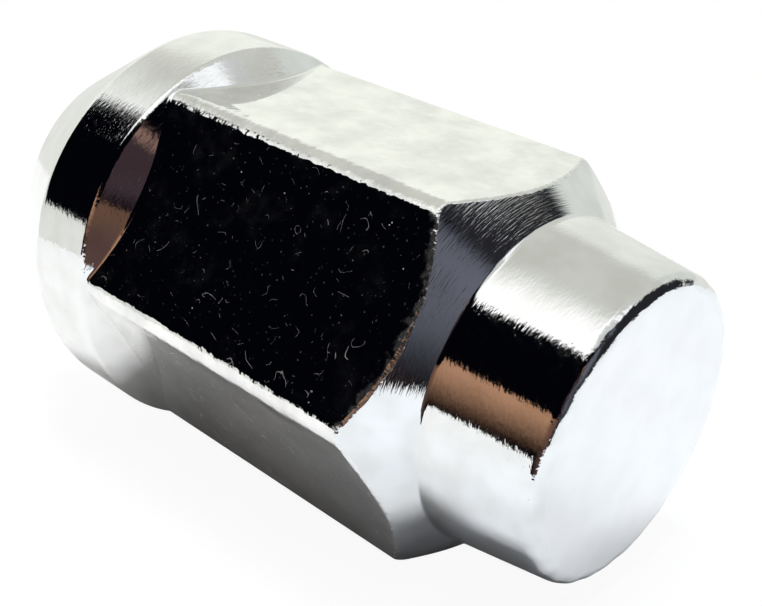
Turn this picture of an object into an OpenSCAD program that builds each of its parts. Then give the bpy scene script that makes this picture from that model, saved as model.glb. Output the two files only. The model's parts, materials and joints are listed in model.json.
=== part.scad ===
/* [Thread] */
// Nominal diameter of the metric fine thread for the wheel stud
thread_d = 14; // [10:0.5:16]
// Pitch of the thread
thread_pitch = 1.5; // [1:0.25:2]
// How far the rim of the lead-in countersink stands outside the thread
countersink_land = 0.4; // [0.1:0.1:1.2]
// Included angle of the lead-in countersink
countersink_angle = 90; // [60:5:120]
// Included angle of the drill point at the bottom of the blind hole
drill_point_angle = 118; // [90:1:140]
// Steel left between the tip of the blind hole and the closed end
end_wall = 8; // [3:0.5:16]

/* [Seat] */
// Included angle of the conical seat that centres the nut in the wheel
seat_angle = 60; // [45:1:90]
// Width of the flat ring at the open end, countersink to seat
seat_rim = 1; // [0.4:0.1:2.5]

/* [Collar] */
// How far the round collar stands out past the hexagon's corners
collar_overhang = 0.25; // [0.05:0.05:2]
// Length of the collar along the axis, seat edge to shoulder edge
collar_length = 4.6; // [3:0.1:8]
// Rounding where the seat runs into the collar
seat_edge_r = 0.8; // [0.3:0.1:3]
// Rounding where the collar runs into its shoulder
shoulder_edge_r = 0.5; // [0.2:0.1:1.5]
// Slope of the shoulder from the axis, where the flats run out under the collar
shoulder_angle = 48; // [20:1:60]

/* [Hexagon] */
// Hexagon size across flats
hex_af = 22; // [19:0.1:27]
// Length of the hexagon's corners, collar shoulder to end chamfer
hex_length = 21.1; // [12:0.1:32]
// Rounding of the hexagon's six corners
hex_corner_r = 1.3; // [0.2:0.1:2]
// Slope from the axis of the cone that chamfers the hexagon's end
chamfer_angle = 45; // [30:1:60]

/* [Nose] */
// How far the base of the closed nose stands in from the flats
nose_inset = 1.4; // [0.4:0.1:2.4]
// Length of the nose beyond the chamfer
nose_length = 6.9; // [3:0.1:14]
// Draft of the nose's side, from the axis
nose_draft = 7; // [0:0.5:10]
// Rounding of the rim at the closed end
end_edge_r = 0.8; // [0.2:0.1:2]

/* [Hidden] */
$fn = 128;
// Two basic-profile depths of a metric thread, per unit of pitch
minor_depths = 1.0825;
// How far a cut runs past the face that it opens
past = 1;
// How far a rounding laps over the sides that it joins, so that they meet in a clean edge
lap = 0.0005;
hex_sides = 6;
bore_r = (thread_d - minor_depths * thread_pitch) / 2;
countersink_r = thread_d / 2 + countersink_land;
countersink_depth = (countersink_r - bore_r) / tan(countersink_angle / 2);
// Reach of the hexagon's rounded corners from the axis
hex_reach = (hex_af / 2 - hex_corner_r) / cos(180 / hex_sides) + hex_corner_r;
collar_r = hex_reach + collar_overhang;
seat_end_r = countersink_r + seat_rim;
seat_length = (collar_r - seat_end_r) / tan(seat_angle / 2);
collar_end = seat_length + collar_length;
nose_r = hex_af / 2 - nose_inset;
hex_end = collar_end + hex_length;
nose_start = hex_end + (hex_reach - nose_r) / tan(chamfer_angle);
total_length = nose_start + nose_length;
nose_end_r = nose_r - nose_length * tan(nose_draft);
point_length = bore_r / tan(drill_point_angle / 2);
bore_depth = total_length - end_wall - point_length;

// Cosine of the angle between a corner's two sides
function corner_cos(before, at, after) =
    ((before - at) / norm(before - at)) * ((after - at) / norm(after - at));

// Point at a given distance from one point towards another
function towards(from, to, distance) = from + (to - from) * distance / norm(to - from);

// Distance from a corner to the points where its rounding meets the sides
function trim(before, at, after, r) =
    let (c = corner_cos(before, at, after))
    r * sqrt((1 + c) / (1 - c));

// Centre of the rounding in a corner
function rounding_centre(before, at, after, r) =
    let (
        c = corner_cos(before, at, after),
        u = (before - at) / norm(before - at),
        v = (after - at) / norm(after - at)
    )
    towards(at, at + u + v, r / sqrt((1 - c) / 2));

// Closed outline whose outward corners are rounded; a radius of 0 keeps a corner sharp
module rounded_outline(points, radii) {
    n = len(points);
    polygon([
        for (i = [0 : n - 1])
            let (
                before = points[(i + n - 1) % n],
                at = points[i],
                after = points[(i + 1) % n],
                d = trim(before, at, after, radii[i])
            )
            for (p = radii[i] > 0 ? [towards(at, before, d), towards(at, after, d)] : [at])
                p
    ]);
    for (i = [0 : n - 1])
        if (radii[i] > 0)
            translate(rounding_centre(points[(i + n - 1) % n], points[i], points[(i + 1) % n], radii[i]))
                circle(r = radii[i] + lap);
}

// Seat, collar, shoulder and nose as one turned form around Z, open end at Z = 0
module turned_form() {
    shoulder_end = collar_end + (collar_r - nose_r) / tan(shoulder_angle);
    rotate_extrude()
        rounded_outline(
            [
                [0, 0],
                [seat_end_r, 0],
                [collar_r, seat_length],
                [collar_r, collar_end],
                [nose_r, shoulder_end],
                [nose_r, nose_start],
                [nose_end_r, total_length],
                [0, total_length]
            ],
            [0, 0, seat_edge_r, shoulder_edge_r, 0, 0, end_edge_r, 0]
        );
}

// Rounded hexagon bar, its end chamfered by a cone that runs down to the nose
module hexagon_form() {
    hex_start = collar_end - collar_length / 2;
    corner_r = hex_af / 2 / cos(180 / hex_sides);
    cone_r = hex_reach + past;
    cone_start = hex_end - past / tan(chamfer_angle);
    intersection() {
        translate([0, 0, hex_start])
            linear_extrude(total_length - hex_start)
                rounded_outline(
                    [
                        for (i = [0 : hex_sides - 1])
                            let (a = (i + 0.5) * 360 / hex_sides)
                            corner_r * [cos(a), sin(a)]
                    ],
                    [for (i = [1 : hex_sides]) hex_corner_r]
                );
        rotate_extrude()
            polygon([
                [0, hex_start - past],
                [cone_r, hex_start - past],
                [cone_r, cone_start],
                [nose_r, nose_start],
                [0, nose_start]
            ]);
    }
}

// Blind tapping hole at the thread's minor diameter, with its lead-in and drill point
module stud_hole() {
    translate([0, 0, -past])
        cylinder(h = bore_depth + past, r = bore_r);
    translate([0, 0, bore_depth])
        cylinder(h = point_length, r1 = bore_r, r2 = 0);
    lead_in = past * tan(countersink_angle / 2);
    translate([0, 0, -past])
        cylinder(h = countersink_depth + past, r1 = countersink_r + lead_in, r2 = bore_r);
}

// One-piece closed nut, lying with its axis along +X, nose forward, a flat facing up
module lug_nut() {
    color([0.84, 0.85, 0.86])
        rotate([0, 90, 0])
            difference() {
                union() {
                    turned_form();
                    hexagon_form();
                }
                stud_hole();
            }
}

lug_nut();
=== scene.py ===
# %% [markdown]
# # A chrome lug nut
#
# This lesson dresses one solid, a closed-end wheel nut, for a close-up. The solid comes from the frame in
# its true size. A mirror-bright part shows every facet, so the solid's coarse triangles are replaced by a
# mesh with true roundings, exact normals and a real thread. Then come the plating and the studio.

# %% Load the frame
import json
import math

import bpy
import numpy as np
from mathutils import Matrix, Vector

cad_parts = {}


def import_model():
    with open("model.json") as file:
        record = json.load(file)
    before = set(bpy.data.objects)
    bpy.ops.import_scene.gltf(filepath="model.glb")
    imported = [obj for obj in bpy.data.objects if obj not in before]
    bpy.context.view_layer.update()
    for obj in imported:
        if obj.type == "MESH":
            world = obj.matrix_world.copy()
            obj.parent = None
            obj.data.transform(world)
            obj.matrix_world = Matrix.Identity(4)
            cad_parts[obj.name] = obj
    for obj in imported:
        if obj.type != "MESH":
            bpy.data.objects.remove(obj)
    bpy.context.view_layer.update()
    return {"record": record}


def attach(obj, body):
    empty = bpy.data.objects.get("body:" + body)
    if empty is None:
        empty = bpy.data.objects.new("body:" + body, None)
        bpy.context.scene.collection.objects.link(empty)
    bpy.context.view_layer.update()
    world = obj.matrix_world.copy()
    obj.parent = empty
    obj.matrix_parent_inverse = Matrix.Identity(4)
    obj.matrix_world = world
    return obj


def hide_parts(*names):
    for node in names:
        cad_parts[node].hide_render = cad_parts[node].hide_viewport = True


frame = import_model()
MM = 0.001

# %% [markdown]
# ## The nut's sizes
#
# The axis runs along X, from the open end at 0 to the closed nose. The few driving sizes are in
# millimetres, the way they are called out on a drawing. Everything else follows from them, and the hole
# comes from the mount that the frame's record states.

# %% Driving sizes
hex_af = 22.0
hex_corner_r = 1.3
hex_length = 21.1
chamfer_angle = math.radians(45)
collar_overhang = 0.25
collar_length = 4.6
shoulder_angle = math.radians(48)
seat_half_angle = math.radians(30)
seat_rim = 1.0
nose_inset = 1.4
nose_length = 6.9
nose_draft = math.radians(7)
thread_d = 14.0
thread_pitch = 1.5
countersink_land = 0.4
drill_half_angle = math.radians(59)
sixth_turn = math.radians(60)

# %% Places along the axis
stud_hole = next(m for m in frame["record"]["mounts"] if m["name"] == "stud_thread")
bore_r = stud_hole["dims"]["r_mm"]
countersink_r = thread_d / 2 + countersink_land
countersink_depth = countersink_r - bore_r
bore_end = countersink_depth + stud_hole["dims"]["length_mm"]
drill_tip = bore_end + bore_r / math.tan(drill_half_angle)
hex_centre_r = (hex_af / 2 - hex_corner_r) / math.cos(sixth_turn / 2)
hex_reach = hex_centre_r + hex_corner_r
collar_r = hex_reach + collar_overhang
seat_end_r = countersink_r + seat_rim
seat_length = (collar_r - seat_end_r) / math.tan(seat_half_angle)
collar_end = seat_length + collar_length
hex_end = collar_end + hex_length
nose_r = hex_af / 2 - nose_inset
nose_start = hex_end + (hex_reach - nose_r) / math.tan(chamfer_angle)
total_length = nose_start + nose_length
nose_end_r = nose_r - nose_length * math.tan(nose_draft)

# %% [markdown]
# ## The hexagon as a radius
#
# Seen along the axis, the hexagon is a distance from the axis that changes with the angle. The six corners
# are arcs, so the radius is worked out in two pieces: on an arc near a corner, and on a flat elsewhere.

# %% Radius of the rounded hexagon
corner_half = math.atan2(
    hex_corner_r * math.sin(sixth_turn / 2),
    hex_centre_r + hex_corner_r * math.cos(sixth_turn / 2),
)


def hexagon_radius(angle):
    off = np.abs((angle + sixth_turn / 2) % sixth_turn - sixth_turn / 2)
    on_flat = hex_af / 2 / np.cos(sixth_turn / 2 - off)
    across = hex_centre_r * np.sin(off)
    on_arc = hex_centre_r * np.cos(off) + np.sqrt(np.maximum(hex_corner_r**2 - across**2, 0))
    return np.where(off < corner_half, on_arc, on_flat)


corner_and_flat = np.array([0, sixth_turn / 2])
print("radius at a corner and on a flat, mm:", hexagon_radius(corner_and_flat).round(3))

# %% [markdown]
# ## Columns around the axis
#
# The mesh is one grid: columns around the axis and rows along the outline. Most columns stand evenly, and
# each corner gets a tight group of its own, because its small arc bends the reflections through 60 degrees.

# %% Angles of the columns
flat_steps = 22
corner_steps = 8
sector_angles = np.concatenate([
    np.linspace(-corner_half, corner_half, corner_steps, endpoint=False),
    np.linspace(corner_half, sixth_turn - corner_half, flat_steps, endpoint=False),
])
columns = np.concatenate([sector_angles + sixth_turn * k for k in range(6)])
print("columns:", len(columns))

# %% [markdown]
# ## Rounding the outline
#
# No edge of a plated nut is sharp, and a rounding, however small, is what catches the light. The outline at
# one angle is a chain of straight runs. Each corner of the chain is swapped for an arc that touches both
# runs. The direction along the outline is kept beside each point, because the normals are built from it.


# %% An arc in a corner
def unit(v):
    return v / np.linalg.norm(v, axis=-1, keepdims=True)


def corner_arc(before, at, after, radius, steps):
    """Points and directions along the arc that rounds one corner, for all columns at once."""
    to_before, to_after = unit(before - at), unit(after - at)
    cosine = (to_before * to_after).sum(-1, keepdims=True)
    trim = radius * np.sqrt((1 + cosine) / (1 - cosine))
    centre = at + unit(to_before + to_after) * radius / np.sqrt((1 - cosine) / 2)
    first = (at + to_before * trim - centre) / radius
    last = (at + to_after * trim - centre) / radius
    sweep = np.arccos(np.clip((first * last).sum(-1, keepdims=True), -1, 1))
    arc = []
    for t in np.linspace(0, 1, steps + 1):
        near, far = (1 - t) * sweep, t * sweep
        point = centre + radius * (np.sin(near) * first + np.sin(far) * last) / np.sin(sweep)
        arc.append((point, unit(np.cos(far) * last - np.cos(near) * first)))
    return arc


# %% A chain of runs and arcs
arc_steps = 6


def rounded_chain(chain):
    """Rows of (point, direction, finish) along a chain of (corner, rounding, steps of its run, finish)."""
    rows = []
    here = chain[0][0]
    for i in range(1, len(chain)):
        corner, rounding, run_steps, finish = chain[i]
        if rounding is None:
            arc = [(corner, unit(corner - here))]
        else:
            arc = corner_arc(chain[i - 1][0], corner, chain[i + 1][0], rounding, arc_steps)
        run = arc[0][0] - here
        first = 0 if i == 1 else 1
        for t in np.linspace(0, 1, run_steps, endpoint=False)[first:]:
            rows.append((here + run * t, unit(run), finish))
        rows += [(point, direction, finish) for point, direction in arc]
        here = arc[-1][0]
    return rows


# %% [markdown]
# ## The outside
#
# The outside is the same chain at every angle: end ring, seat, collar, shoulder, flat, chamfer, nose and
# end. Only two of its corners move. Where the hexagon is low, on the middle of a flat, the shoulder runs
# further down and the chamfer starts later. That alone draws the crescents and the scallops. The rim and
# the scallops were dressed by hand or worn, so their roundings vary a little along the way.

# %% Roundings, in millimetres
rounding_mouth = 0.12
rounding_seat_end = 0.25
rounding_seat_edge = 0.8
rounding_shoulder = 0.5
rounding_foot = 0.4
rounding_scallop = 0.38
rounding_nose_foot = 0.5
rounding_rim = 0.8
unevenness = 0.12
scallop_waves = [(23, 1.3), (41, 0.2), (67, 3.1)]
rim_waves = [(7, 0.4), (17, 2.1), (31, 4.0)]


def uneven(rounding, angle, waves):
    """A rounding that varies along its ring, by the mean of a few (waves per turn, phase) sines."""
    rings = [np.sin(count * angle + phase) for count, phase in waves]
    return rounding + unevenness * (sum(rings) / len(rings))[:, None]


# %% Outline at each angle
lead_in_x = 0.3


def outside_rows(angle):
    flat_r = hexagon_radius(angle)
    foot_x = collar_end + (collar_r - flat_r) / math.tan(shoulder_angle)
    scallop_x = hex_end + (hex_reach - flat_r) / math.tan(chamfer_angle)

    def ring(x, r):
        return np.stack([np.broadcast_to(x, angle.shape), np.broadcast_to(r, angle.shape)], -1)

    return rounded_chain([
        (ring(lead_in_x, countersink_r - lead_in_x), None, 0, "mouth"),
        (ring(0, countersink_r), rounding_mouth, 1, "mouth"),
        (ring(0, seat_end_r), rounding_seat_end, 3, "mouth"),
        (ring(seat_length, collar_r), rounding_seat_edge, 6, "seat"),
        (ring(collar_end, collar_r), rounding_shoulder, 4, "collar"),
        (ring(foot_x, flat_r), rounding_foot, 4, "shoulder"),
        (ring(scallop_x, flat_r), uneven(rounding_scallop, angle, scallop_waves), 14, "flats"),
        (ring(nose_start, nose_r), rounding_nose_foot, 5, "chamfer"),
        (ring(total_length, nose_end_r), uneven(rounding_rim, angle, rim_waves), 7, "nose"),
        (ring(total_length, 0), None, 9, "end"),
    ])


outside = outside_rows(columns)
print("rows outside:", len(outside))

# %% [markdown]
# ## The thread
#
# The hole is tapped with a metric fine thread. A screw thread is a helix, so its radius depends on both the
# place along the axis and the angle: the same ridge comes round once per pitch. Sampling that radius on a
# fine grid gives the real ridges in the same mesh as the outside, and the ridges fade out near the bottom.

# %% Radius of the tapped hole
thread_depth = thread_d / 2 - bore_r
thread_end = 26.5
thread_fade = 2.5
crest_share = 0.25
root_share = 0.875


def smooth_step(t):
    t = np.clip(t, 0, 1)
    return t * t * (3 - 2 * t)


def hole_radius(x, angle):
    turn = (x / thread_pitch - angle / (2 * math.pi)) % 1.0
    ridge = 2 * np.abs(turn - 0.5)
    groove = smooth_step((ridge - crest_share) / (root_share - crest_share))
    fade = smooth_step((thread_end - x) / thread_fade)
    tapped = bore_r + thread_depth * groove * fade
    return np.maximum(tapped, countersink_r - x)


# %% Rows of the tapped hole
rows_per_pitch = 12
rows_below_thread = 3
probe = 0.01


def inside_rows(angle):
    """Rows from the foot of the drill point out to the countersink, with the direction along them."""
    below_x = np.linspace(bore_end, thread_end, rows_below_thread + 1)[:-1]
    thread_x = np.arange(thread_end, lead_in_x, -thread_pitch / rows_per_pitch)
    rows = []
    for x in np.concatenate([below_x, thread_x]):
        slope = (hole_radius(x - probe, angle) - hole_radius(x + probe, angle)) / 2
        point = np.stack([np.full_like(angle, x), hole_radius(x, angle)], -1)
        rows.append((point, unit(np.stack([np.full_like(angle, -probe), slope], -1)), "thread"))
    return rows


thread_turns = (thread_end - lead_in_x) / thread_pitch
print("rows inside:", len(inside_rows(columns)), "with", round(thread_turns, 1), "turns of thread")

# %% [markdown]
# ## Exact normals
#
# Flat and smooth shading both fail on a mirror: one shows facets, the other smears a flat into its edge.
# The true normal at a point is square to two directions, along the outline and around the axis. The second
# one is measured by building the same rows again a hair to either side.


# %% Points and normals
def all_rows(angle):
    return inside_rows(angle) + outside_rows(angle)


def in_space(rows, angle):
    """Row points as an array of rows by columns by XYZ."""
    x = np.array([row[0][:, 0] for row in rows])
    r = np.array([row[0][:, 1] for row in rows])
    return np.stack([x, r * np.cos(angle), r * np.sin(angle)], -1)


hair = 1e-4
ahead, behind = columns + hair, columns - hair
rows = all_rows(columns)
points = in_space(rows, columns)
around = in_space(all_rows(ahead), ahead) - in_space(all_rows(behind), behind)
along_x = np.array([row[1][:, 0] for row in rows])
along_r = np.array([row[1][:, 1] for row in rows])
along = np.stack([along_x, along_r * np.cos(columns), along_r * np.sin(columns)], -1)
points, around, along = points[:-1], around[:-1], along[:-1]
normals = unit(np.cross(around, along))
finishes = [row[2] for row in rows]
print("grid:", points.shape[:2], "points")

# %% [markdown]
# ## One closed mesh
#
# The grid closes on itself around the axis. A single point shuts it at each end: the tip of the drill point
# inside, and the middle of the closed end outside. The result is watertight, as a real nut is. Each row
# carries the name of its finish, so every face knows which material it takes.

# %% Build the nut
finish_names = ["thread", "mouth", "seat", "collar", "shoulder", "flats", "chamfer", "nose", "end"]


def build_nut():
    row_count, column_count = points.shape[:2]
    tip, middle = row_count * column_count, row_count * column_count + 1
    vertices = np.concatenate([points.reshape(-1, 3), [[drill_tip, 0, 0], [total_length, 0, 0]]]) * MM
    vertex_normals = np.concatenate([normals.reshape(-1, 3), [[-1, 0, 0], [1, 0, 0]]])
    faces, face_finish = [], []
    for j in range(column_count):
        k = (j + 1) % column_count
        faces.append((tip, k, j))
        face_finish.append("thread")
        for i in range(row_count - 1):
            a, b = i * column_count, (i + 1) * column_count
            faces.append((a + j, a + k, b + k, b + j))
            face_finish.append(finishes[i + 1])
        a = (row_count - 1) * column_count
        faces.append((a + j, a + k, middle))
        face_finish.append("end")
    mesh = bpy.data.meshes.new("plated_lug_nut")
    mesh.from_pydata(vertices.tolist(), [], faces)
    mesh.polygons.foreach_set("use_smooth", [True] * len(faces))
    mesh.polygons.foreach_set("material_index", [finish_names.index(f) for f in face_finish])
    mesh.normals_split_custom_set_from_vertices(vertex_normals.tolist())
    mesh.update()
    nut = bpy.data.objects.new("plated_lug_nut", mesh)
    bpy.context.scene.collection.objects.link(nut)
    return nut


nut = build_nut()
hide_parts("lug_nut")
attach(nut, "root")
print("faces:", len(nut.data.polygons))

# %% [markdown]
# ## Small tools for shaders
#
# A shader is a board of nodes joined by wires. A few helpers keep the recipes below short: one puts a node
# on the board, two do arithmetic, two turn a value into a soft step up or down, one mixes two colours and
# one makes noise. The last one starts a node group, which is an effect that several finishes can share.


# %% Node helpers
def put(tree, kind, inputs=None, **settings):
    """A new node; each of its inputs is a value or an output of another node."""
    node = tree.nodes.new(kind)
    for name, value in settings.items():
        setattr(node, name, value)
    for name, value in (inputs or {}).items():
        if isinstance(value, bpy.types.NodeSocket):
            tree.links.new(value, node.inputs[name])
        else:
            node.inputs[name].default_value = value
    return node


def maths(tree, operation, *values):
    return put(tree, "ShaderNodeMath", dict(enumerate(values)), operation=operation).outputs[0]


def rise(tree, value, low, high):
    """0 below low, 1 above high, smooth between."""
    inputs = {"Value": value, "From Min": low, "From Max": high}
    return put(tree, "ShaderNodeMapRange", inputs, interpolation_type="SMOOTHSTEP").outputs["Result"]


def fall(tree, value, low, high):
    """1 below low, 0 above high, smooth between."""
    return maths(tree, "SUBTRACT", 1.0, rise(tree, value, low, high))


def blend(tree, mask, colour_a, colour_b):
    return put(tree, "ShaderNodeMix", {0: mask, 6: colour_a, 7: colour_b}, data_type="RGBA").outputs[2]


def weighted(tree, start, *terms):
    """A start value plus each (mask, amount)."""
    total = start
    for mask, amount in terms:
        total = maths(tree, "MULTIPLY_ADD", mask, amount, total)
    return total


def noise(tree, vector, scale, detail, seed=None):
    inputs = {"Vector": vector, "Scale": scale, "Detail": detail}
    if seed is None:
        return put(tree, "ShaderNodeTexNoise", inputs).outputs["Fac"]
    inputs["W"] = seed
    return put(tree, "ShaderNodeTexNoise", inputs, noise_dimensions="4D").outputs["Fac"]


# %% Start of a node group
def new_group(name, inputs, outputs):
    """An empty node group with named value inputs and outputs, and the sockets inside it."""
    group = bpy.data.node_groups.new(name, "ShaderNodeTree")
    for label, default in inputs.items():
        socket = group.interface.new_socket(label, in_out="INPUT", socket_type="NodeSocketFloat")
        socket.default_value = default
    for label in outputs:
        group.interface.new_socket(label, in_out="OUTPUT", socket_type="NodeSocketFloat")
    given = group.nodes.new("NodeGroupInput").outputs
    made = group.nodes.new("NodeGroupOutput").inputs
    return group, given, made


# %% [markdown]
# ## Where a point is on the nut
#
# Marks left by a lathe run around the axis. So the turned faces are described by how far a point is along
# the axis, how far it is from it, and which way it lies from it. Taking the second from the first gives a
# number that changes along every turned face, cone or cylinder or end.


# %% Coordinates in millimetres
def millimetres(tree):
    place = put(tree, "ShaderNodeTexCoord").outputs["Object"]
    return put(tree, "ShaderNodeVectorMath", {0: place, "Scale": 1 / MM}, operation="SCALE").outputs[0]


def turned_coordinates(tree):
    """Place along the axis, distance from it, and direction from it."""
    axes = put(tree, "ShaderNodeSeparateXYZ", {0: millimetres(tree)}).outputs
    across = put(tree, "ShaderNodeCombineXYZ", {1: axes[1], 2: axes[2]}).outputs[0]
    radius = put(tree, "ShaderNodeVectorMath", {0: across}, operation="LENGTH").outputs["Value"]
    facing = put(tree, "ShaderNodeVectorMath", {0: across}, operation="NORMALIZE").outputs[0]
    return axes[0], radius, facing


def grain_noise(tree, size, detail):
    """Noise whose grains have a size in millimetres."""
    return noise(tree, millimetres(tree), maths(tree, "DIVIDE", 1.0, size), detail)


# %% [markdown]
# ## Turning marks
#
# The plating is so thin that the lathe's fine grooves show through. A noise squeezed along the outline and
# stretched around the axis gives grooves that start and stop. The height goes to a bump. A second, coarser
# noise gives streaks where the face is a little less bright.

# %% Group of turning marks
marks_group, given, made = new_group(
    "turning_marks", {"Fineness": 5.0, "Breaks": 6.0}, ["Height", "Streak"],
)
groove_detail = 2.5
height_seed, streak_seed = 0.0, 7.0
streak_coarseness = 0.35
streak_low, streak_high = 0.42, 0.7
along_axis, radius, facing = turned_coordinates(marks_group)
along_outline = maths(marks_group, "SUBTRACT", along_axis, radius)
inputs = {0: facing, "Scale": given["Breaks"]}
stretched = put(marks_group, "ShaderNodeVectorMath", inputs, operation="SCALE").outputs[0]
parts = put(marks_group, "ShaderNodeSeparateXYZ", {0: stretched}).outputs


def groove_noise(share, seed):
    fineness = maths(marks_group, "MULTIPLY", given["Fineness"], share)
    squeezed = maths(marks_group, "MULTIPLY", along_outline, fineness)
    grid = put(marks_group, "ShaderNodeCombineXYZ", {0: squeezed, 1: parts[1], 2: parts[2]}).outputs[0]
    return noise(marks_group, grid, 1.0, groove_detail, seed)


marks_group.links.new(groove_noise(1.0, height_seed), made["Height"])
coarse = groove_noise(streak_coarseness, streak_seed)
marks_group.links.new(rise(marks_group, coarse, streak_low, streak_high), made["Streak"])

# %% [markdown]
# ## Ripple and cloud in the plating
#
# Plated steel is never quite flat. A slow ripple bends straight reflections, and faint clouds change how
# bright the chrome is from place to place.

# %% Group of the plating's ripple
ripple_group, given, made = new_group("plating_ripple", {"Size": 2.0, "Detail": 2.0}, ["Height", "Cloud"])
ripple_seed, cloud_seed = 1.0, 5.0
cloud_low, cloud_high = 0.3, 0.7
per_size = maths(ripple_group, "DIVIDE", 1.0, given["Size"])
place = millimetres(ripple_group)
waves = noise(ripple_group, place, per_size, given["Detail"], ripple_seed)
ripple_group.links.new(waves, made["Height"])
patches = noise(ripple_group, place, per_size, given["Detail"], cloud_seed)
ripple_group.links.new(rise(ripple_group, patches, cloud_low, cloud_high), made["Cloud"])

# %% [markdown]
# ## Hair scratches
#
# Handling leaves short curved hairlines. A line of constant height in a smooth noise is a long winding
# curve. Kept only where a second noise is high, it breaks up into short separate hairs.

# %% Group of hair scratches
hair_group, given, made = new_group(
    "hair_scratches", {"Spread": 0.5, "Width": 0.006, "Share": 0.35, "Seed": 0.0}, ["Mask"],
)
no_detail = 0.0
line_level = 0.5
seed_gap = 20.0
highest_edge, edge_drop, edge_softness = 0.8, 0.6, 0.03
place = millimetres(hair_group)
curves = noise(hair_group, place, given["Spread"], no_detail, given["Seed"])
off_line = maths(hair_group, "ABSOLUTE", maths(hair_group, "SUBTRACT", curves, line_level))
line = fall(hair_group, off_line, 0.0, given["Width"])
other_seed = maths(hair_group, "ADD", given["Seed"], seed_gap)
stretches = noise(hair_group, place, given["Spread"], no_detail, other_seed)
drop = maths(hair_group, "MULTIPLY", given["Share"], edge_drop)
edge = maths(hair_group, "SUBTRACT", highest_edge, drop)
kept = rise(hair_group, stretches, edge, maths(hair_group, "ADD", edge, edge_softness))
hair_group.links.new(maths(hair_group, "MULTIPLY", line, kept), made["Mask"])

# %% [markdown]
# ## Specks
#
# Dust and pin holes are small round dots, few and far between. Each cell of a Voronoi pattern may hold one
# dot at its centre, and a random number per cell decides which cells do.

# %% Group of specks
speck_group, given, made = new_group("specks", {"Spread": 1.0, "Radius": 0.08, "Share": 0.3}, ["Mask"])
inputs = {"Vector": millimetres(speck_group), "Scale": given["Spread"]}
cells = put(speck_group, "ShaderNodeTexVoronoi", inputs).outputs
reach = maths(speck_group, "MULTIPLY", given["Radius"], given["Spread"])
dot = fall(speck_group, cells["Distance"], maths(speck_group, "MULTIPLY", reach, 0.5), reach)
lot = put(speck_group, "ShaderNodeSeparateColor", {0: cells["Color"]}).outputs[0]
chosen = maths(speck_group, "LESS_THAN", lot, given["Share"])
speck_group.links.new(maths(speck_group, "MULTIPLY", dot, chosen), made["Mask"])

# %% [markdown]
# ## Nicks along the corners
#
# A socket touches the corners first, so they carry the most nicks. The angle around the axis, folded back
# and forth over half a side, tells how near a corner is. Near it, a grainy noise roughens the bump.

# %% Group of corner nicks
nick_group, given, made = new_group("corner_nicks", {"Grain": 0.7, "Reach": 6.0}, ["Height"])
whole_turn, half_side = 360.0, 30.0
axes = put(nick_group, "ShaderNodeSeparateXYZ", {0: millimetres(nick_group)}).outputs
angle = maths(nick_group, "DEGREES", maths(nick_group, "ARCTAN2", axes[2], axes[1]))
fold = maths(nick_group, "PINGPONG", maths(nick_group, "ADD", angle, whole_turn), half_side)
near = fall(nick_group, fold, maths(nick_group, "MULTIPLY", given["Reach"], 0.5), given["Reach"])
grain = grain_noise(nick_group, given["Grain"], 2.0)
nick_group.links.new(maths(nick_group, "MULTIPLY", near, grain), made["Height"])

# %% [markdown]
# The edges that run around the nut, at the scallops and at the rim, are ragged too. There the normal leans
# along the axis, and that lean tells where the edge is.

# %% Group of edge nicks
edge_group, given, made = new_group("edge_nicks", {"Grain": 0.3, "Start": 0.04}, ["Height"])
full_lean = 0.12
normal = put(edge_group, "ShaderNodeNewGeometry").outputs["Normal"]
lean_x = put(edge_group, "ShaderNodeSeparateXYZ", {0: normal}).outputs[0]
near = rise(edge_group, lean_x, given["Start"], maths(edge_group, "ADD", given["Start"], full_lean))
grain = grain_noise(edge_group, given["Grain"], 3.0)
edge_group.links.new(maths(edge_group, "MULTIPLY", near, grain), made["Height"])

# %% [markdown]
# A socket also chips the scallops from the side of the flats, and wears a dull strip beside them. The
# chamfer is a 45 degree cone, so the place along the axis plus the radius is one fixed number on it. How
# far a flat is below that number tells how near its scallop is. Taking some of the same noise off that
# distance makes the strip's border ragged.

# %% Group of scallop chips
chip_group, given, made = new_group("scallop_chips", {"Grain": 0.5, "Reach": 0.45}, ["Height", "Worn"])
raggedness = 1.6
chip_low, chip_high = 0.48, 0.72
worn_fully, worn_off = 0.1, 0.45
along_axis, radius, _ = turned_coordinates(chip_group)
on_the_cone = hex_end + hex_reach
from_scallop = maths(chip_group, "SUBTRACT", on_the_cone, maths(chip_group, "ADD", along_axis, radius))
near = fall(chip_group, from_scallop, 0.0, given["Reach"])
grain = grain_noise(chip_group, given["Grain"], 2.0)
chips = maths(chip_group, "MULTIPLY", near, rise(chip_group, grain, chip_low, chip_high))
chip_group.links.new(chips, made["Height"])
centred = maths(chip_group, "ADD", from_scallop, raggedness / 2)
ragged = maths(chip_group, "MULTIPLY_ADD", grain, -raggedness, centred)
chip_group.links.new(fall(chip_group, ragged, worn_fully, worn_off), made["Worn"])
groups = (marks_group, ripple_group, hair_group, speck_group, nick_group, edge_group, chip_group)
print("groups:", [g.name for g in groups])

# %% [markdown]
# ## A board for one finish
#
# Every finish starts the same way, as a plain metal. Its colour and the effects are then wired in. Several
# bumps are chained, each one bending the normal that the one before it left.

# %% Start of a finish
MICROMETRE = 1e-6


def new_finish(name):
    material = bpy.data.materials.new("plated_" + name)
    material.use_nodes = True
    tree = material.node_tree
    shader = tree.nodes["Principled BSDF"]
    shader.inputs["Metallic"].default_value = 1.0
    return material, tree, shader.inputs


def effect(tree, group, **values):
    inputs = {label.capitalize(): value for label, value in values.items()}
    return put(tree, "ShaderNodeGroup", inputs, node_tree=group).outputs


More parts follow.
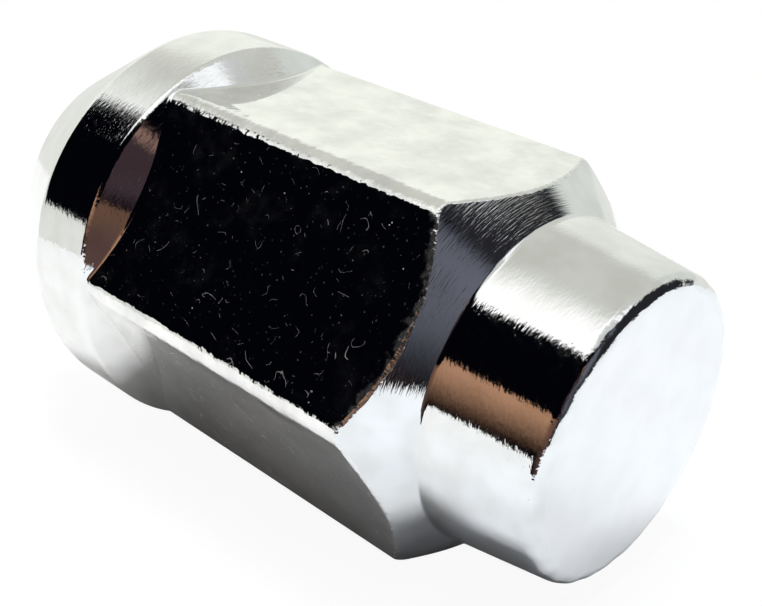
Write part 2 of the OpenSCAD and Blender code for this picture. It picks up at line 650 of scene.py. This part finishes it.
def bumps(tree, *layers):
    """Chain of bumps from (height, depth in micrometres) layers."""
    normal = None
    for height, depth in layers:
        inputs = {"Height": height, "Distance": depth * MICROMETRE}
        if normal is not None:
            inputs["Normal"] = normal
        normal = put(tree, "ShaderNodeBump", inputs).outputs["Normal"]
    return normal


# %% [markdown]
# ## The flats
#
# The six flats are the most mirror-like faces. They carry hair scratches and specks of dust, which scatter
# light and so show pale on a dark reflection, and faint clouds. What scatters light is made a little less
# metallic and much rougher than the plate around it.

# %% Marks on the flats
flats_bright = (1.0, 1.0, 0.985, 1)
flats_cloudy = (0.78, 0.785, 0.785, 1)
slow_share = 0.75
flats, tree, shader = new_finish("flats")
ripple = effect(tree, ripple_group, size=2.2, detail=3.0)
mottle = effect(tree, ripple_group, size=0.7, detail=2.0)
hairs = effect(tree, hair_group, spread=0.55, width=0.005, share=0.25)["Mask"]
fine_hairs = effect(tree, hair_group, spread=1.3, width=0.010, share=0.27, seed=4.0)["Mask"]
specks = effect(tree, speck_group, spread=1.1, radius=0.06, share=0.22)["Mask"]
dust = effect(tree, speck_group, spread=3.5, radius=0.07, share=0.45)["Mask"]
dust = maths(tree, "MULTIPLY", dust, mottle["Cloud"])
smudge = maths(tree, "MULTIPLY", mottle["Cloud"], rise(tree, ripple["Cloud"], 0.55, 1.0))
nicks = effect(tree, nick_group)["Height"]
chips = effect(tree, chip_group)
edges = effect(tree, edge_group, grain=0.35, start=0.04)["Height"]
slow_clouds = maths(tree, "MULTIPLY", ripple["Cloud"], slow_share)
clouds = weighted(tree, slow_clouds, (mottle["Cloud"], 1 - slow_share))

# %% Finish of the flats
roughness = weighted(
    tree, 0.02, (clouds, 0.03), (hairs, 0.45), (fine_hairs, 0.4), (specks, 0.5), (dust, 0.25),
    (smudge, 0.06), (chips["Worn"], 0.15),
)
metallic = weighted(
    tree, 1.0, (hairs, -0.14), (fine_hairs, -0.08), (specks, -0.2), (dust, -0.035),
    (smudge, -0.004), (chips["Worn"], -0.025),
)
normal = bumps(tree, (ripple["Height"], 5.0), (nicks, 50.0), (edges, 45.0), (chips["Height"], 22.0))
tree.links.new(blend(tree, clouds, flats_bright, flats_cloudy), shader["Base Color"])
tree.links.new(roughness, shader["Roughness"])
tree.links.new(metallic, shader["Metallic"])
tree.links.new(normal, shader["Normal"])
print("nodes of the flats:", len(tree.nodes))

# %% [markdown]
# ## The turned faces
#
# Seat, collar, shoulder, chamfer and nose come off a lathe. They share one recipe, and differ in how coarse
# and how deep the grooves are. Plating on a turned face also has a fine peel, like that of an orange.

# %% Finish of the turned faces
chrome_bright = (0.92, 0.925, 0.935, 1)
chrome_dull = (0.83, 0.835, 0.825, 1)
pit_dark = (0.25, 0.25, 0.26, 1)


def turned_finish(name, fineness, breaks, depth, rough, edge_depth=0.0):
    material, tree, shader = new_finish(name)
    marks = effect(tree, marks_group, fineness=fineness, breaks=breaks)
    ripple = effect(tree, ripple_group, size=1.6, detail=2.0)
    peel = effect(tree, ripple_group, size=0.3, detail=2.0)["Height"]
    specks = effect(tree, speck_group, spread=0.8, radius=0.06, share=0.25)["Mask"]
    pits = effect(tree, speck_group, spread=1.3, radius=0.05, share=0.2)["Mask"]
    plate = blend(tree, ripple["Cloud"], chrome_bright, chrome_dull)
    layers = [(ripple["Height"], 5.0), (peel, 1.2), (marks["Height"], depth)]
    if edge_depth:
        layers.append((effect(tree, edge_group, grain=0.4, start=0.2)["Height"], edge_depth))
    tree.links.new(blend(tree, pits, plate, pit_dark), shader["Base Color"])
    tree.links.new(weighted(tree, rough, (marks["Streak"], 0.05), (specks, 0.4)), shader["Roughness"])
    tree.links.new(bumps(tree, *layers), shader["Normal"])
    return material


seat = turned_finish("seat", fineness=4.0, breaks=12.0, depth=6.0, rough=0.08)
collar = turned_finish("collar", fineness=6.0, breaks=30.0, depth=9.0, rough=0.03, edge_depth=25.0)
shoulder = turned_finish("shoulder", fineness=4.0, breaks=25.0, depth=8.0, rough=0.03)
chamfer = turned_finish("chamfer", fineness=7.0, breaks=10.0, depth=7.0, rough=0.03)
nose = turned_finish("nose", fineness=6.0, breaks=22.0, depth=9.0, rough=0.03, edge_depth=20.0)
print("turned:", [m.name for m in (seat, collar, shoulder, chamfer, nose)])

# %% [markdown]
# ## The closed end
#
# The end was faced and left a little softer than the rest, so it looks cloudy. Faint rings from the facing
# cut remain.

# %% Finish of the closed end
end_bright = (0.92, 0.915, 0.925, 1)
end_cloudy = (0.88, 0.875, 0.88, 1)
end, tree, shader = new_finish("end")
marks = effect(tree, marks_group, fineness=2.5, breaks=3.0)
ripple = effect(tree, ripple_group, size=1.8, detail=4.0)
specks = effect(tree, speck_group, spread=0.35, radius=0.14, share=0.3)["Mask"]
tree.links.new(blend(tree, ripple["Cloud"], end_bright, end_cloudy), shader["Base Color"])
tree.links.new(weighted(tree, 0.10, (ripple["Cloud"], 0.08), (specks, 0.4)), shader["Roughness"])
tree.links.new(bumps(tree, (ripple["Height"], 4.0), (marks["Height"], 1.0)), shader["Normal"])
print("nodes of the end:", len(tree.nodes))

# %% [markdown]
# ## Mouth and thread
#
# Plating hardly reaches into a blind hole, so the thread keeps the grey of the steel with a thin flash of
# metal, and it is dry and dull. The ring around the mouth is plated but coarse.

# %% Finish of the mouth and the thread
steel_light = (0.50, 0.50, 0.49, 1)
steel_dark = (0.34, 0.33, 0.31, 1)
mouth = turned_finish("mouth", fineness=5.0, breaks=5.0, depth=3.0, rough=0.16)
thread, tree, shader = new_finish("thread")
marks = effect(tree, marks_group, fineness=8.0, breaks=12.0)
ripple = effect(tree, ripple_group, size=1.2, detail=4.0)
roughness = weighted(tree, 0.28, (ripple["Cloud"], 0.14), (marks["Streak"], 0.10))
tree.links.new(blend(tree, ripple["Cloud"], steel_light, steel_dark), shader["Base Color"])
tree.links.new(roughness, shader["Roughness"])
tree.links.new(bumps(tree, (marks["Height"], 3.0)), shader["Normal"])

for material in (thread, mouth, seat, collar, shoulder, flats, chamfer, nose, end):
    nut.data.materials.append(material)
print("finishes:", [m.name for m in nut.data.materials])

# %% [markdown]
# ## The camera
#
# The camera stands by the closed end, above the nut, and looks down along it. A bearing, a height and a
# distance place it around a point near the axis, and a small roll tips the picture. These were fitted to
# the nut's outline, so they aren't round numbers.

# %% Camera
camera_bearing = math.radians(40.411)
camera_height = math.radians(26.087)
camera_roll = math.radians(5.953)
camera_distance = 73.627
camera_aim = Vector((24.689, 0, 0.212))
lens_length = 57.5942
sensor_width = 36


def camera_axes():
    """Right, up and back of the camera, after its roll."""
    level = Vector((math.sin(camera_bearing), -math.cos(camera_bearing), 0))
    back = level * math.cos(camera_height) + Vector((0, 0, math.sin(camera_height)))
    right = Vector((math.cos(camera_bearing), math.sin(camera_bearing), 0))
    up = back.cross(right)
    cosine, sine = math.cos(camera_roll), math.sin(camera_roll)
    return right * cosine + up * sine, up * cosine - right * sine, back


right, up, back = camera_axes()
camera_data = bpy.data.cameras.new("camera")
camera_data.sensor_width = sensor_width
camera_data.lens = lens_length
camera_data.clip_start = MM
camera = bpy.data.objects.new("camera", camera_data)
bpy.context.scene.collection.objects.link(camera)
camera_place = Matrix.Translation((camera_aim + back * camera_distance) * MM)
camera.matrix_world = camera_place @ Matrix((right, up, back)).transposed().to_4x4()
bpy.context.scene.camera = camera
bpy.context.scene.view_settings.view_transform = "Standard"
print("camera at, mm:", [round(v / MM, 1) for v in camera.matrix_world.translation])

# %% [markdown]
# ## The room
#
# Polished metal has hardly any colour of its own: what it shows is the room. So the room is drawn with
# care, as a function of direction. Two angles in degrees name a direction: a bearing, which is 0 in front
# of the nut and grows to the right, and a height above the level. A third number tells how far it points
# to the front right. A patch of the room lies between limits of these, each with a softness of its own.

# %% Directions in the room
front_right = (0.648, -0.762)
room = bpy.data.worlds.new("studio_room")
room.use_nodes = True
tree = room.node_tree
tree.nodes.clear()
direction = put(tree, "ShaderNodeTexCoord").outputs["Generated"]
x, y, z = put(tree, "ShaderNodeSeparateXYZ", {0: direction}).outputs
height = maths(tree, "DEGREES", maths(tree, "ARCSINE", z))
bearing = maths(tree, "DEGREES", maths(tree, "ARCTAN2", x, maths(tree, "MULTIPLY", y, -1.0)))
forward = weighted(tree, maths(tree, "MULTIPLY", x, front_right[0]), (y, front_right[1]))


# %% Patches of the room
def both(*masks):
    total = masks[0]
    for mask in masks[1:]:
        total = maths(tree, "MULTIPLY", total, mask)
    return total


def beyond(value, edge, soft):
    return rise(tree, value, edge - soft, edge + soft)


def before(value, edge, soft):
    return fall(tree, value, edge - soft, edge + soft)


def between(value, low, high):
    """Mask between two limits, each one (edge, softness)."""
    return both(beyond(value, *low), before(value, *high))


def patch(under, colour, *masks):
    return blend(tree, both(*masks), under, colour)


# %% [markdown]
# The far side and the ceiling are bright. The wall is a little darker to the right, and the ceiling glows
# above the camera. A pale panel stands at the left, beside the dark side, and a bright spot hangs high at
# the right.

# %% Bright side
wall = (0.93, 0.95, 0.87, 1)
wall_right = (0.70, 0.73, 0.69, 1)
ceiling = (0.61, 0.62, 0.57, 1)
ceiling_right = (0.62, 0.64, 0.63, 1)
glow = (1.22, 1.22, 1.2, 1)
panel = (0.98, 0.99, 0.96, 1)
spot = (1.05, 1.07, 1.08, 1)
bright = patch(wall_right, wall, rise(tree, bearing, -176, -140), before(bearing, -40, 10))
bright = patch(bright, ceiling, beyond(height, 34, 7))
bright = patch(bright, panel, between(bearing, (-92, 14), (-30, 10)), between(height, (27, 4), (41.5, 6)))
overhead = patch(glow, ceiling_right, beyond(bearing, 50, 30))
overhead = patch(overhead, spot, between(bearing, (103, 5), (129, 6)))
bright = patch(bright, overhead, beyond(forward, -0.14, 0.18), beyond(height, 44, 5))

# %% [markdown]
# The side towards the camera is dark. Low in it stands a warm band, which fades downwards and gets darker
# to the right, and a slate-grey patch beside it. A slanting line parts the slate from a plum shade above
# it, and a small coral patch sits at the top of the plum.

# %% Dark side
black = (0.0008, 0.001, 0.0022, 1)
deep = (0.02, 0.02, 0.024, 1)
warm = (0.46, 0.25, 0.15, 1)
warm_far = (0.14, 0.075, 0.05, 1)
warm_low = (0.095, 0.055, 0.048, 1)
plum = (0.045, 0.028, 0.034, 1)
slate = (0.125, 0.132, 0.165, 1)
coral = (0.30, 0.18, 0.14, 1)
warm_level, warm_slope = 17.4, -0.16
slate_start = 36.0
above_warm = maths(tree, "SUBTRACT", height, maths(tree, "MULTIPLY_ADD", bearing, warm_slope, warm_level))
above_slate = maths(tree, "SUBTRACT", height, maths(tree, "SUBTRACT", bearing, slate_start))
dark = patch(black, deep, beyond(bearing, 98, 6))
above_line, below_line = beyond(above_slate, 0, 3), before(above_slate, 0, 3)
dark = patch(dark, plum, between(bearing, (45, 4), (70, 4)), above_line, before(height, 40, 3))
dark = patch(dark, coral, between(bearing, (60, 3), (66, 3)), between(height, (36, 3), (41, 3)))
slate_height = both(rise(tree, height, -14, 38), before(height, 44, 2))
dark = patch(dark, slate, between(bearing, (53, 3), (97, 7)), slate_height, below_line)
warm_near = blend(tree, rise(tree, height, -10, 22), black, warm)
warm_right = blend(tree, rise(tree, height, -6, 8), warm_low, warm_far)
warm_band = blend(tree, rise(tree, bearing, -10, 42), warm_near, warm_right)
dark = patch(dark, warm_band, between(bearing, (-25, 3), (50, 3)), before(above_warm, 0, 1.5))

# %% [markdown]
# The dark side has two upright edges and a top edge. The top leans with the direction and dips at the left,
# so that the pale panel shows above it. To the left and behind, a pale floor runs up to the level of the
# eye. The camera itself looks past all of this at plain white, which a Light Path node arranges.

# %% Edges of the dark side
side_lean, side_curve, near_lean = 0.065, 0.385, 0.05
dark_top = (0.785, 0.035)
dark_left, dark_right = (-75, 3.5), (162, 5)
dip_bearing, dip_height, dip_soft = -57.5, 32, 1.5
left_rise, right_rise, right_curve = -0.7, 0.6, 0.0155
cubed = maths(tree, "POWER", y, 3.0)
near_side = maths(tree, "MINIMUM", y, 0.0)
leaning = weighted(tree, z, (y, side_lean), (cubed, side_curve), (near_side, near_lean))
from_dip = maths(tree, "SUBTRACT", bearing, dip_bearing)
right_slope = maths(tree, "MULTIPLY_ADD", from_dip, right_curve, right_rise)
right_side = maths(tree, "MULTIPLY", from_dip, right_slope)
left_side = maths(tree, "MULTIPLY", from_dip, left_rise)
above_dip = maths(tree, "SUBTRACT", height, maths(tree, "MAXIMUM", right_side, left_side))
under_top = both(before(leaning, *dark_top), before(above_dip, dip_height, dip_soft))
in_dark = both(under_top, between(bearing, dark_left, dark_right))

# %% World shader
pale = (0.80, 0.81, 0.77, 1)
plain_white = (1, 1, 1, 1)
left_or_behind = maths(tree, "ADD", before(bearing, -38, 3), beyond(bearing, 155, 5))
colour = patch(bright, dark, in_dark)
colour = patch(colour, pale, before(height, -1.5, 1), left_or_behind)
seen = put(tree, "ShaderNodeLightPath").outputs["Is Camera Ray"]
background = put(tree, "ShaderNodeBackground", {"Color": patch(colour, plain_white, seen)})
put(tree, "ShaderNodeOutputWorld", {"Surface": background.outputs[0]})
bpy.context.scene.world = room
print("nodes of the room:", len(tree.nodes))

# %% [markdown]
# ## The sheet under the nut
#
# The nut lies on its collar and on the end of its lowest flat, so the white sheet under it tilts by a few
# degrees. The chrome sees the sheet as it is, dark right under the nut and bright further out. In front the
# sheet stops short, where the dark side of the room begins, so its outline draws the lower edge of the
# nut's dark reflections.

# %% White sheet
flat_end = hex_end + (hex_reach - hex_af / 2) / math.tan(chamfer_angle)
tilt = (collar_r - hex_af / 2) / (flat_end - collar_end)
sheet_outline = [
    (-80, 90), (-80, -5), (-2, -125), (33, -66), (36, -41.5),
    (43.5, -40.5), (120, -58), (400, -150), (400, 90),
]


def on_sheet(x, y):
    return (x * MM, y * MM, (tilt * (x - collar_end) - collar_r) * MM)


sheet_mesh = bpy.data.meshes.new("white_sheet")
sheet_points = [on_sheet(*corner) for corner in sheet_outline]
sheet_mesh.from_pydata(sheet_points, [], [tuple(range(len(sheet_points)))])
sheet = bpy.data.objects.new("white_sheet", sheet_mesh)
bpy.context.scene.collection.objects.link(sheet)
print("sheet tilts by", round(math.degrees(math.atan(tilt)), 2), "degrees")

# %% [markdown]
# The paper is a plain matt grey with a hint of fibres. Under the nose a cool tint is painted into it, which
# stands in for cooler light there and tints the chrome's reflections of the sheet. To the camera it is
# mostly plain white, so that the cast shadow is only faint in the picture.

# %% Paper
paper_grey = (0.60, 0.603, 0.603, 1)
paper_cool_light = (0.585, 0.613, 0.645, 1)
fibre_grey = (0.57, 0.575, 0.585, 1)
fibre_share = 0.4
cool_light_start, cool_light_full = 15, 45
white_strength = 1.02
white_share = 0.92
paper = bpy.data.materials.new("white_paper")
paper.use_nodes = True
tree = paper.node_tree
tree.nodes.clear()
fibres = effect(tree, ripple_group, size=6.0, detail=4.0)["Cloud"]
paper_x = put(tree, "ShaderNodeSeparateXYZ", {0: millimetres(tree)}).outputs[0]
# Painted cool light: the paper turns bluer towards the nose, which stands in for cooler light there rather
# than a colour of the paper.
paper_tone_and_cool_light = blend(tree, rise(tree, paper_x, cool_light_start, cool_light_full), paper_grey, paper_cool_light)
paper_tone_and_cool_light = blend(tree, maths(tree, "MULTIPLY", fibres, fibre_share), paper_tone_and_cool_light, fibre_grey)
matt = put(tree, "ShaderNodeBsdfDiffuse", {"Color": paper_tone_and_cool_light}).outputs[0]
inputs = {"Color": plain_white, "Strength": white_strength}
white = put(tree, "ShaderNodeEmission", inputs).outputs[0]
seen = put(tree, "ShaderNodeLightPath").outputs["Is Camera Ray"]
share = maths(tree, "MULTIPLY", seen, white_share)
mixed = put(tree, "ShaderNodeMixShader", {0: share, 1: matt, 2: white})
put(tree, "ShaderNodeOutputMaterial", {"Surface": mixed.outputs[0]})
sheet_mesh.materials.append(paper)
print("nodes of the paper:", len(tree.nodes))

# %% [markdown]
# ## Two lamps
#
# A soft lamp overhead brings the sheet up to white, and a weaker one at the left, behind the nut, lightens
# the shadow under its collar. The bright ceiling already gives the highlights, so both lamps are hidden
# from reflections.

# %% Lamps
lamp_aim = Vector((20, 0, -12))


def soft_lamp(name, place, size, energy):
    data = bpy.data.lights.new(name, "AREA")
    data.size = size * MM
    data.energy = energy
    lamp = bpy.data.objects.new(name, data)
    bpy.context.scene.collection.objects.link(lamp)
    lamp.location = Vector(place) * MM
    lamp.rotation_euler = (lamp_aim * MM - lamp.location).to_track_quat("-Z", "Y").to_euler()
    lamp.visible_glossy = False
    print("lamp", name, "of", energy, "W")


soft_lamp("overhead", place=(20, -30, 400), size=120, energy=1.75)
soft_lamp("left_back", place=(-200, 100, 250), size=140, energy=0.4)
